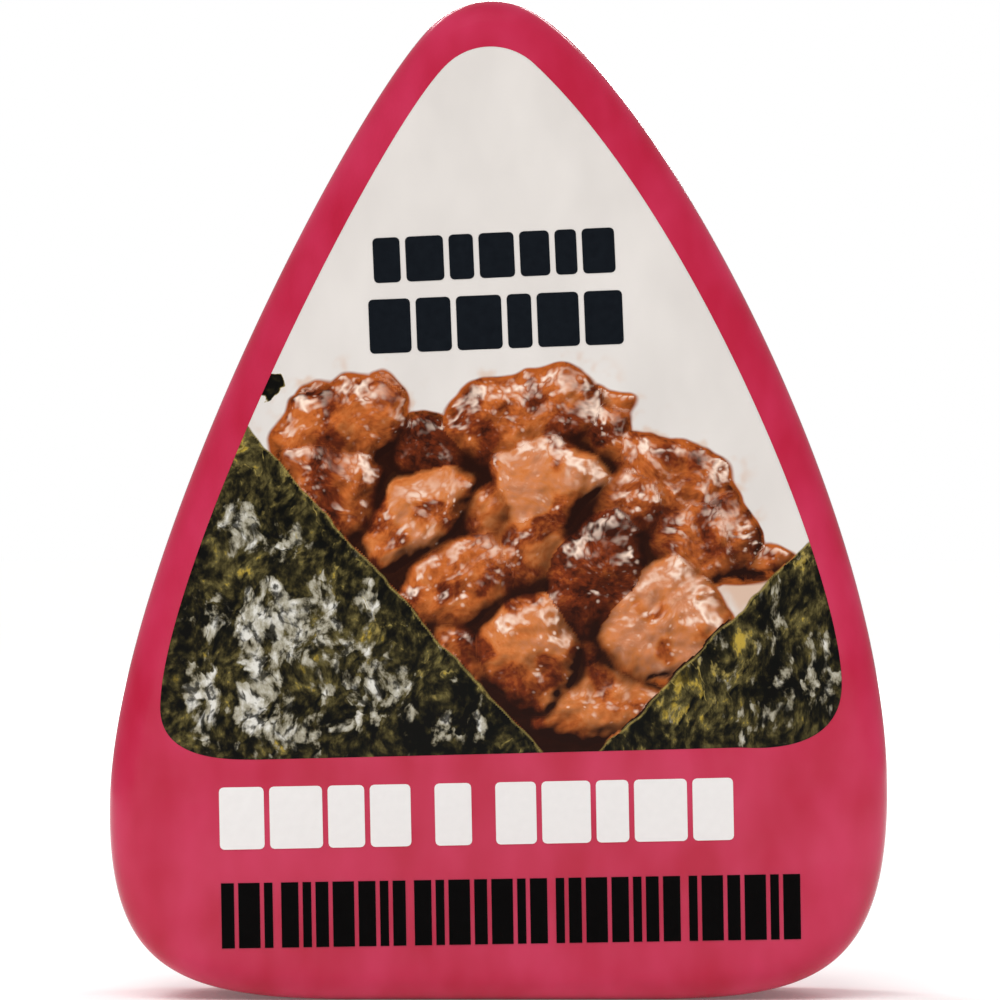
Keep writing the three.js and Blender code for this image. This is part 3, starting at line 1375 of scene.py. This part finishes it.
@dataclass(frozen=True)
class Heap:
    """The pictured heap of glazed chunks, in a bed of dark sauce.

    The bed is made up of ellipses: the X and Z of each one's middle, and its half axes. The
    chunks lie from back to front, and their seeds count up from first_seed.
    """

    chunks: tuple[Chunk, ...] = HEAP
    bed: tuple[tuple[float, float, float, float], ...] = (
        (-14, 53, 8.5, 7), (1, 54, 9, 6), (12, 50, 11, 6.5), (19, 47, 6, 7),
        (-9, 46, 13, 9), (4, 39, 18, 12), (5, 31, 12, 9), (23, 43.5, 6, 2.2),
    )
    bed_tone: float = 0.12
    first_seed: int = 100

    def paint(self, x: Array, z: Array) -> tuple[Array, ...]:
        """Works out the heap over a grid of places.

        Args:
            x: the grid's X.
            z: the grid's Z.

        Returns:
            The heap's height, its tone, the signed distance to its edge, and its grain's places.
        """
        ragged = 0.12 * gradient_noise(x, z, size=3, seed=60)
        reaches = [np.hypot((x - bx) / rx, (z - bz) / rz) + ragged for bx, bz, rx, rz in self.bed]
        distance = np.min([(r - 1) * min(b[2:]) for r, b in zip(reaches, self.bed)], axis=0)
        lumps = gradient_noise(x, z, size=3.2, seed=61)
        height = -0.6 + 0.9 * lumps - 0.3 * smooth(distance, -2, 0)
        tone = np.full(x.shape, self.bed_tone)
        own = np.stack([x, z, np.zeros_like(x)], axis=-1)
        for seed, chunk in enumerate(self.chunks, start=self.first_seed):
            own_height, away, along, across = chunk.relief(x, z, seed)
            in_front = own_height > height
            low = smooth(-across, -0.5 * chunk.short, chunk.short)
            deeper = 1 - 0.5 * smooth(away, -2.2, -0.1) * low
            own_tone = chunk.tone * (1 - 0.25 * smooth(away, -1.2, -0.1)) * deeper
            tone = np.where(in_front, own_tone, tone)
            grain = np.stack([along * 0.85, across, np.full_like(x, seed * 7.0)], axis=-1)
            own = np.where(in_front[..., None], grain, own)
            height = np.logaddexp(3 * height, 3 * own_height) / 3
            distance = np.minimum(distance, away)
        height += 0.32 * layered_noise(x, z, size=2.8, seed=62, layers=3, gain=0.45)
        pools = gradient_noise(x, z, size=5.0, seed=64) + 0.6 * gradient_noise(x, z, size=2.2, seed=65)
        return height, tone * (1 - 0.65 * smooth(pools, 0.0, 0.5)), distance, own


@dataclass(frozen=True)
class Patch:
    """A soft-edged patch in the picture: its middle, its half axes and how strong it is."""

    x: float
    z: float
    across: float
    up: float
    amount: float = 1.0

    def reach(self, x: Array, z: Array) -> Array:
        """How far out places lie: 0 in the patch's middle and 1 on its ellipse."""
        return np.hypot((x - self.x) / self.across, (z - self.z) / self.up)

    def share(self, x: Array, z: Array, ragged: Array) -> Array:
        """The patch's amount in its middle, fading to 0 at its ragged rim."""
        return self.amount * smooth(-(self.reach(x, z) + ragged), -1.1, -0.3)


@dataclass(frozen=True)
class NoriSheet:
    """A pictured sheet of seaweed, below a straight edge, crinkled and glossy in places.

    stretch says how much longer its crinkles are across and up, glossy where it shines, and
    tinted where it is thinner, and so paler, or thicker and darker.
    """

    start: Place
    end: Place
    stretch: Place
    glossy: tuple[Patch, ...]
    tinted: tuple[Patch, ...]
    seed: int
    thick: float = 1.2
    tone: float = 0.36

    def paint(self, x: Array, z: Array) -> tuple[Array, ...]:
        """Works out the sheet over a grid of places.

        Args:
            x: the grid's X.
            z: the grid's Z.

        Returns:
            Its height, its tone, its gloss, the signed distance to its edge and its grain's places.
        """
        run, rise = self.end[0] - self.start[0], self.end[1] - self.start[1]
        away = ((z - self.start[1]) * run - (x - self.start[0]) * rise) / math.hypot(run, rise)
        distance = away + 0.3 * layered_noise(x, z, size=4, seed=self.seed, layers=3)
        u, v = (
            (place + 0.6 * gradient_noise(x, z, size=4, seed=self.seed + more)) / stretch
            for place, more, stretch in zip((x, z), (10, 11), self.stretch)
        )
        crinkle = np.abs(layered_noise(u, v, size=2.6, seed=self.seed + 20, layers=4, gain=0.62))
        waves = gradient_noise(x, z, size=6, seed=self.seed + 30)
        height = self.thick - 0.9 * crinkle + 0.9 * waves
        ragged = 0.5 * layered_noise(u, v, size=2.6, seed=self.seed + 50, layers=3)
        tint = np.sum([patch.share(x, z, ragged) for patch in self.tinted], axis=0)
        tone = self.tone + 0.24 * layered_noise(x, z, size=5, seed=self.seed + 40, layers=2) + tint
        gloss = np.max([patch.share(x, z, ragged) for patch in self.glossy], axis=0)
        own = np.stack([u, v, np.full_like(x, self.seed * 1.0)], axis=-1)
        return height, tone, gloss, distance, own


LEFT_NORI = NoriSheet(
    start=(-25.4, 57.6), end=(4.8, 24.2), stretch=(0.9, 1.2), seed=200,
    glossy=(
        Patch(-21.0, 37.8, 11, 6.6, 1.15), Patch(-23.0, 29.0, 7.6, 5.6, 1.15),
        Patch(-12.0, 31.0, 6, 5, 0.9), Patch(-25.8, 47.0, 3.0, 4.4),
        Patch(-21.6, 45.0, 2.6, 3.2, 0.9), Patch(-4.0, 27.4, 3.2, 2.0, 0.8),
        Patch(-29.6, 30.6, 2.6, 6.0), Patch(-20.0, 34.0, 18, 16, 0.4),
    ),
    tinted=(
        Patch(-25.0, 55.6, 4.0, 2.6, 0.4), Patch(-14.0, 36.0, 2.0, 4.0, 0.25),
        Patch(-18.0, 33.0, 2.4, 3.4, 0.25), Patch(-25.0, 44.0, 5.0, 5.0, 0.12),
        Patch(-4.0, 27.0, 12, 6.0, -0.25), Patch(-18.0, 50.0, 5.0, 4.0, 0.1),
    ),
)

RIGHT_NORI = NoriSheet(
    start=(9.6, 24.4), end=(31.2, 46.2), stretch=(0.75, 1.35), seed=300,
    glossy=(
        Patch(30.8, 32.6, 4.0, 9.0, 0.8), Patch(26.4, 29.6, 3.4, 4.2, 0.7),
        Patch(28.6, 39.4, 3.0, 4.0, 0.7), Patch(25.0, 34.0, 12, 10, 0.35),
    ),
    tinted=(
        Patch(19.0, 30.6, 5.0, 4.4, 0.3), Patch(24.6, 35.4, 3.0, 2.4, 0.35),
        Patch(30.6, 43.0, 1.6, 2.4, 0.3), Patch(28.0, 30.0, 5.0, 8.0, -0.12),
    ),
)


@dataclass(frozen=True)
class PictureWindow:
    """The printed picture: a fine grid cut to the window's outline and laid on the film.

    scrap is a torn bit of seaweed by the left edge, spill the sauce that has run out on the
    right, and splash the sauce round the heap. The light's fields say how fast its rays fall,
    which way they come from and how much of it shadows and hollows take.
    """

    form: PackForm
    outline: Outline = WINDOW_OUTLINE
    heap: Heap = Heap()
    nori: tuple[NoriSheet, ...] = (LEFT_NORI, RIGHT_NORI)
    nori_lift: float = 3.5
    scrap: Patch = Patch(-23.1, 61.3, 1.4, 1.6)
    spill: Patch = Patch(24.6, 41.0, 4.4, 2.6, 0.6)
    cell: float = 0.2
    proud: float = 0.04
    sunk: float = 0.2
    light_slope: float = 0.75
    light_across: float = -0.6
    light_up: float = 0.8
    shadow_reach: float = 8
    shadow_depth: float = 0.85
    hollow_cells: tuple[int, int] = (5, 14)
    hollow_depth: float = 0.85
    open_light: float = 1.04
    most_light: float = 1.25
    lean_strength: float = 0.75
    wet_strength: float = 0.55
    splash: float = 0.4
    splash_reach: float = 2.4
    map_margin: float = 0.01
    underside_corner: Place = (0.01, 0.85)
    underside_scale: float = 0.14

    def build(self) -> Object:
        """Builds the window's mesh with its fields, shading facts and bake map.

        Returns:
            The window, which has no material yet.
        """
        low = self.outline.line.min(axis=0) - self.cell
        size = self.outline.line.max(axis=0) + self.cell - low
        columns, rows = (math.ceil(s / self.cell) for s in size)
        bpy.ops.mesh.primitive_grid_add(
            x_subdivisions=columns, y_subdivisions=rows, size=1 * MM, rotation=(math.pi / 2, 0, 0),
        )
        obj = fresh("picture_window")
        points = read_points(obj.data)
        column = np.rint((points[:, 0] + 0.5) * columns).astype(int)
        row = np.rint((points[:, 2] + 0.5) * rows).astype(int)
        across, up = (low[k] + np.arange(n + 1) * self.cell for k, n in enumerate((columns, rows)))
        level = np.full(len(points), -self.proud)
        write_points(obj.data, np.column_stack([across[column], level, up[row]]))
        for name, values in self.paint(*np.meshgrid(across, up)).items():
            write_attribute(obj.data, name, values[row, column])
        self.cut(obj)
        self.form.carry(obj, Face.FRONT)
        self.map_flat(obj)
        bpy.ops.object.shade_smooth()
        return obj

    def paint(self, x: Array, z: Array) -> dict[str, Array]:
        """Works out the picture over a grid of places.

        Args:
            x: the grid's X, in millimetres.
            z: the grid's Z, in millimetres.

        Returns:
            The vectors that the material reads at each place, by attribute name.
        """
        height, tone, heap_distance, own = self.heap.paint(x, z)
        wetness = 0.6 + 0.8 * gradient_noise(x, z, size=3, seed=66)
        gloss = wetness * smooth(height, -0.4, 0.8)
        height = np.where(heap_distance < 0, height, -1)
        torn = 0.4 * layered_noise(x, z, size=1.7, seed=67, layers=3)
        scrap = self.scrap.reach(x, z) - 1 + torn
        nori_distance = 4 * scrap
        for sheet in self.nori:
            sheet_height, sheet_tone, sheet_gloss, distance, grain = sheet.paint(x, z)
            here = distance < 0
            height = np.where(here, sheet_height + self.nori_lift, height)
            tone, gloss = np.where(here, sheet_tone, tone), np.where(here, sheet_gloss, gloss)
            own = np.where(here[..., None], grain, own)
            nori_distance = np.minimum(nori_distance, distance)
        tone, gloss = (np.where(scrap < 0, 0.0, values) for values in (tone, gloss))
        near, far = (self.blurred(height, cells) - height for cells in self.hollow_cells)
        hollow = near + 0.5 * far
        gloss = np.where(nori_distance < 0, gloss, gloss * (1 - smooth(hollow, -0.1, 0.4)))
        light = 1 - self.shadow_depth * self.cast_shadow(height)
        light *= np.clip(self.open_light - self.hollow_depth * hollow, 0.0, self.most_light)
        blotches = layered_noise(x, z, size=2.6, seed=68, layers=3)
        near_heap = 1 - smooth(heap_distance, 0, self.splash_reach)
        splashed = self.splash * near_heap * smooth(blotches, 0.1, 0.7)
        stain = np.maximum(splashed, self.spill.share(x, z, 0.4 * blotches))
        beads = 0.1 * gradient_noise(x, z, size=0.9, seed=69)
        return {
            "fields": np.stack([heap_distance, nori_distance, stain], axis=-1),
            "facts": np.stack([light, tone, np.clip(gloss, 0, 1)], axis=-1),
            "own": own,
            "lean": self.lean(height, self.lean_strength),
            "wet": self.lean(height + beads, self.wet_strength),
        }

    def lean(self, height: Array, strength: float) -> Array:
        """Works out which way a relief faces.

        Args:
            height: the relief over the grid.
            strength: how much its slopes count.

        Returns:
            A unit vector for each place: across, out of the picture and up.
        """
        slope_up, slope_across = np.gradient(height, self.cell)
        lean = np.stack([-slope_across * strength, np.ones_like(height), -slope_up * strength], axis=-1)
        return lean / np.linalg.norm(lean, axis=-1, keepdims=True)

    def cast_shadow(self, height: Array) -> Array:
        """How deep each place lies in the shadow of what stands between it and the light.

        Args:
            height: the relief over the grid.

        Returns:
            From 0, in the light, to 1.
        """
        rows, columns = (np.arange(n) for n in height.shape)
        over = np.zeros_like(height)
        step = 2 * self.cell
        for reach in np.arange(step, self.shadow_reach, step):
            up, across = (
                np.clip(places + round(way * reach / self.cell), 0, len(places) - 1)
                for places, way in ((rows, self.light_up), (columns, self.light_across))
            )
            over = np.maximum(over, height[np.ix_(up, across)] - height - reach * self.light_slope)
        return smooth(over, 0, 1)

    @staticmethod
    def blurred(height: Array, radius: int) -> Array:
        """Averages a relief over a square of cells, twice each way.

        Args:
            height: the relief over the grid.
            radius: how many cells the square reaches to each side.

        Returns:
            The averaged relief.
        """
        for axis in (0, 1, 0, 1):
            pad = [(radius + 1, radius) if k == axis else (0, 0) for k in (0, 1)]
            total = np.cumsum(np.pad(height, pad, mode="edge"), axis=axis)
            ends = [np.take(total, range(s, s + height.shape[axis]), axis) for s in (2 * radius + 1, 0)]
            height = (ends[0] - ends[1]) / (2 * radius + 1)
        return height

    def cut(self, obj: Object) -> None:
        """Cuts the grid to the outline: far cells go, the rim moves onto the line and is closed.

        Args:
            obj: the whole grid.
        """
        points = read_points(obj.data)
        beyond = np.flatnonzero(self.outline.share(points[:, 0], points[:, 2]) > 1)
        _, away = self.outline.nearest(points[beyond, 0], points[beyond, 2])
        outside = np.zeros(len(points), bool)
        outside[beyond] = away > self.cell / 2
        with edit_mode(obj):
            pick(obj, "VERT", lambda v: outside[v.index])
            bpy.ops.mesh.delete(type="VERT")
            mesh = bmesh.from_edit_mesh(obj.data)
            for vertex in {v for e in mesh.edges if is_rim(e) for v in e.verts}:
                near = self.outline.tree.find((vertex.co.x / MM, 0, vertex.co.z / MM))[0]
                vertex.co.x, vertex.co.z = near[0] * MM, near[2] * MM
            bmesh.update_edit_mesh(obj.data)
            bpy.ops.mesh.select_all(action="SELECT")
            bpy.ops.mesh.remove_doubles(threshold=0.02 * MM)
            bpy.ops.mesh.dissolve_degenerate(threshold=0.005 * MM)
            bpy.ops.mesh.delete_loose(use_verts=True, use_edges=True, use_faces=False)
            close_below(obj, self.sunk)

    def map_flat(self, obj: Object) -> None:
        """Gives the window a map that is its view from the front, for its baked texture.

        The hidden underside is drawn small in a corner that the outline leaves free.

        Args:
            obj: the finished window.
        """
        layer = obj.data.uv_layers.new(name="OFBake")
        points = read_points(obj.data)[:, [0, 2]]
        low, high = points.min(axis=0), points.max(axis=0)
        flat = self.map_margin + (1 - 2 * self.map_margin) * (points - low) / (high - low).max()
        corners = np.empty(len(obj.data.loops), np.int32)
        obj.data.loops.foreach_get("vertex_index", corners)
        places = flat[corners].astype(np.float32)
        underside = max(obj.data.polygons, key=lambda face: face.loop_total).loop_indices
        places[underside] = np.array(self.underside_corner) + self.underside_scale * places[underside]
        layer.data.foreach_set("uv", places.ravel())


# ---- Words' places and bars --------------------------------------------------------------


class RowStyle(Enum):
    """How a row of print is made up of blocks: a list of widths for each of its groups."""

    UPPER_TITLE = ((1.0, 1.4, 0.9, 1.3, 1.1, 0.8, 1.2),)
    LOWER_TITLE = ((1.2, 1.0, 1.3, 0.7, 1.2, 1.1),)
    LINE = ((1.1, 1.3, 0.9, 1.0), (0.9,), (1.0, 1.2, 0.8, 1.3, 1.0))
    BARS = (
        (3, 5, 2), (4, 2, 3, 5, 4, 2, 3), (4, 2, 5, 3, 5, 2, 4), (2, 3, 5, 4, 2, 3, 4),
        (2, 5, 3, 5, 2, 4),
    )


@dataclass(frozen=True)
class PrintRow:
    """A straight row of plain blocks that fill the length between two places.

    The groups' widths are shares of what the gaps leave of that length.
    """

    left: Place
    right: Place
    height: float
    style: RowStyle
    gap: float = 0.55
    group_gap: float = 2.4
    corner: float = 0.45
    corner_segments: int = 3
    proud: float = 0.08

    def build(self) -> list[Object]:
        """Builds the row's blocks, from left to right.

        Returns:
            The blocks, flat in the plane of X and Z.
        """
        groups = self.style.value
        length = math.dist(self.left, self.right)
        blanks = self.gap * sum(len(g) - 1 for g in groups) + self.group_gap * (len(groups) - 1)
        unit = (length - blanks) / sum(map(sum, groups))
        blocks, reached = [], 0.0
        for group in groups:
            for width in group:
                blocks.append(self.block((reached + width * unit / 2) / length, width * unit))
                reached += width * unit + self.gap
            reached += self.group_gap - self.gap
        return blocks

    def block(self, share: float, width: float) -> Object:
        """Builds one block as a thin slab with rounded corners, half sunk in the film.

        Args:
            share: how far along the row its middle is, from 0 to 1.
            width: how wide it is.

        Returns:
            The block, flat in the plane of X and Z.
        """
        start, run = np.array(self.left), np.subtract(self.right, self.left)
        x, z = (start + share * run) * MM
        bpy.ops.mesh.primitive_cube_add(
            size=1, location=(x, 0, z), rotation=(0, -math.atan2(run[1], run[0]), 0),
            scale=(width * MM, 2 * self.proud * MM, self.height * MM),
        )
        obj = fresh("print_block")
        if self.corner:
            with edit_mode(obj):
                pick(obj, "EDGE", spans_depth)
                bpy.ops.mesh.bevel(
                    offset=self.corner * MM, segments=self.corner_segments, affect="EDGES"
                )
        return obj


# The strip's bars and the gaps between them measure this many units in all.
BAR_UNITS = 135
BAR_ENDS = (-27.6, 8.5), (30.1, 9.45)
BAR_UNIT = math.dist(*BAR_ENDS) / BAR_UNITS


@dataclass(frozen=True)
class FrontPrint:
    """All that is printed over the film's crimson: the picture, the words' places, the bars."""

    form: PackForm
    title: tuple[PrintRow, ...] = (
        PrintRow((-12.5, 73.8), (11.6, 74.9), 4.5, RowStyle.UPPER_TITLE),
        PrintRow((-12.9, 67.2), (12.4, 68.2), 5.4, RowStyle.LOWER_TITLE),
    )
    line: PrintRow = PrintRow((-27.8, 18.2), (23.4, 19.2), 6.2, RowStyle.LINE)
    bars: PrintRow = PrintRow(*BAR_ENDS, 6.5, RowStyle.BARS, BAR_UNIT, 2 * BAR_UNIT, corner=0)

    def build(self) -> None:
        """Builds and dresses the picture, the rows and the strip."""
        hand_over(PictureWindow(self.form).build(), PicturePrint().make())
        self.lay("title_blocks", self.title, OpaqueInk("title_ink", "#0c1016", "#161b21", 0.5, 0.05))
        self.lay("line_blocks", (self.line,), OpaqueInk("white_ink", "#e9e6e4", "#f0edeb", 0.5, 0.1))
        self.lay("bar_strip", (self.bars,), OpaqueInk("bar_ink", "#020101", "#060505", 0.4, 0.05))

    def lay(self, name: str, rows: Iterable[PrintRow], ink: OpaqueInk) -> None:
        """Builds rows as one piece, lays it on the front and inks it.

        Args:
            name: the piece's name.
            rows: the rows that it is made of.
            ink: what it is printed in.
        """
        select_only(*(block for row in rows for block in row.build()))
        bpy.ops.object.join()
        obj = fresh(name)
        self.form.carry(obj, Face.FRONT)
        hand_over(obj, ink.make())


# ---- The studio --------------------------------------------------------------------------


def add_object(name: str, data: ID) -> Object:
    """Adds an object that holds a light or a camera.

    Args:
        name: the object's name.
        data: the light or the camera.

    Returns:
        The object.
    """
    obj = bpy.data.objects.new(name, data)
    bpy.context.scene.collection.objects.link(obj)
    return obj


@dataclass(frozen=True)
class Softbox:
    """A strip light: where it stands and what it faces, its size, in metres, and watts."""

    name: str
    place: Direction
    size: Place
    power: float
    aim: Direction = (0, 0, 0.05)

    def build(self) -> None:
        """Adds the light, which the camera doesn't see."""
        data = bpy.data.lights.new(self.name, "AREA")
        data.shape, data.energy = "RECTANGLE", self.power
        data.size, data.size_y = self.size
        lamp = add_object(self.name, data)
        lamp.location = self.place
        lamp.rotation_euler = (Vector(self.aim) - lamp.location).to_track_quat("-Z", "Y").to_euler()
        lamp.visible_camera = False


@dataclass(frozen=True)
class WideSun:
    """An even light from far off: where it comes from, its width in degrees and its strength.

    A strength of 1 shows white paper that squarely faces the light as white. Nothing mirrors
    the light itself, so it leaves no glare on the film.
    """

    name: str
    place: Direction
    width: float
    strength: float

    def build(self) -> None:
        """Adds the light."""
        data = bpy.data.lights.new(self.name, "SUN")
        data.angle, data.energy = math.radians(self.width), self.strength * math.pi
        lamp = add_object(self.name, data)
        lamp.visible_glossy = False
        lamp.rotation_euler = Vector(self.place).to_track_quat("Z", "Y").to_euler()


@dataclass(frozen=True)
class Studio:
    """A white paper floor in white air, two wide suns, soft strips, and a camera in front.

    air is how strongly the white air lights things, and mirrored_air how it shows in the gloss.
    """

    form: PackForm
    lens: float = 300.0
    sensor: float = 36.0
    view_centre: Place = (0.15, 49.95)
    view_size: float = 100.0
    floor_size: float = 12
    air: float = 0.5
    mirrored_air: float = 0.36
    lights: tuple[WideSun | Softbox, ...] = (
        WideSun("front_sun", (-0.1, -0.62, 0.78), 40, 0.43),
        WideSun("back_sun", (-0.35, 0.75, 0.6), 20, 0.25),
        Softbox("back_right_strip", (0.5, 1.0, 0.9), (0.5, 0.08), 1.8),
        Softbox("back_left_strip", (-0.5, 1.0, 0.9), (0.5, 0.08), 1.8),
        Softbox("back_strip", (0.1, 1.5, 0.4), (0.6, 0.12), 4.0),
    )

    def build(self) -> None:
        """Builds the floor, the lights, the air and the camera."""
        self.floor()
        for light in self.lights:
            light.build()
        self.white_air()
        bpy.context.scene.view_settings.view_transform = "Standard"
        self.camera()

    def white_air(self) -> None:
        """Fills the world with even light, which shows as plain white."""
        world = bpy.data.worlds.new("studio_air")
        bpy.context.scene.world = world
        world.use_nodes = True
        world.node_tree.nodes.clear()
        node = partial(add_node, world.node_tree)
        lighting, mirrored, seen = (
            node("Background", ("#ffffff", strength)) for strength in (self.air, self.mirrored_air, 1.0)
        )
        path = node("LightPath").outputs
        unseen = node("MixShader", (path["Is Glossy Ray"], lighting, mirrored))
        whole = node("MixShader", (path["Is Camera Ray"], unseen, seen))
        node("OutputWorld", (whole,))

    def floor(self) -> None:
        """Lays the paper that the pack stands on."""
        bpy.ops.mesh.primitive_plane_add(size=self.floor_size)
        obj = fresh("paper_floor")
        obj.data.materials.append(StudioPaper().make())
        obj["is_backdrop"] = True

    def camera(self) -> None:
        """Sets the camera straight in front, framing the pack's own height."""
        data = bpy.data.cameras.new("front_camera")
        data.lens, data.sensor_width = self.lens, self.sensor
        x, z = self.view_centre
        away = self.view_size * self.lens / self.sensor
        camera = add_object("front_camera", data)
        camera.location = (x * MM, (self.form.middle - self.form.wall / 2 - away) * MM, z * MM)
        camera.rotation_euler = (math.pi / 2, 0, 0)
        bpy.context.scene.camera = camera


def write_sizes() -> None:
    boxes = {"cad": CAD_BOX, "visual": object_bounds()}
    {name: [list(corner) for corner in box] for name, box in boxes.items()}


def main() -> None:
    """Builds the pack and its studio, in order."""
    logging.basicConfig(level=logging.INFO, format="%(name)s: %(message)s")
    form = PackForm()
    Studio(form).build()
    PackFilm(form).build()
    FrontPrint(form).build()
    write_sizes()


if __name__ == "__main__":
    main()
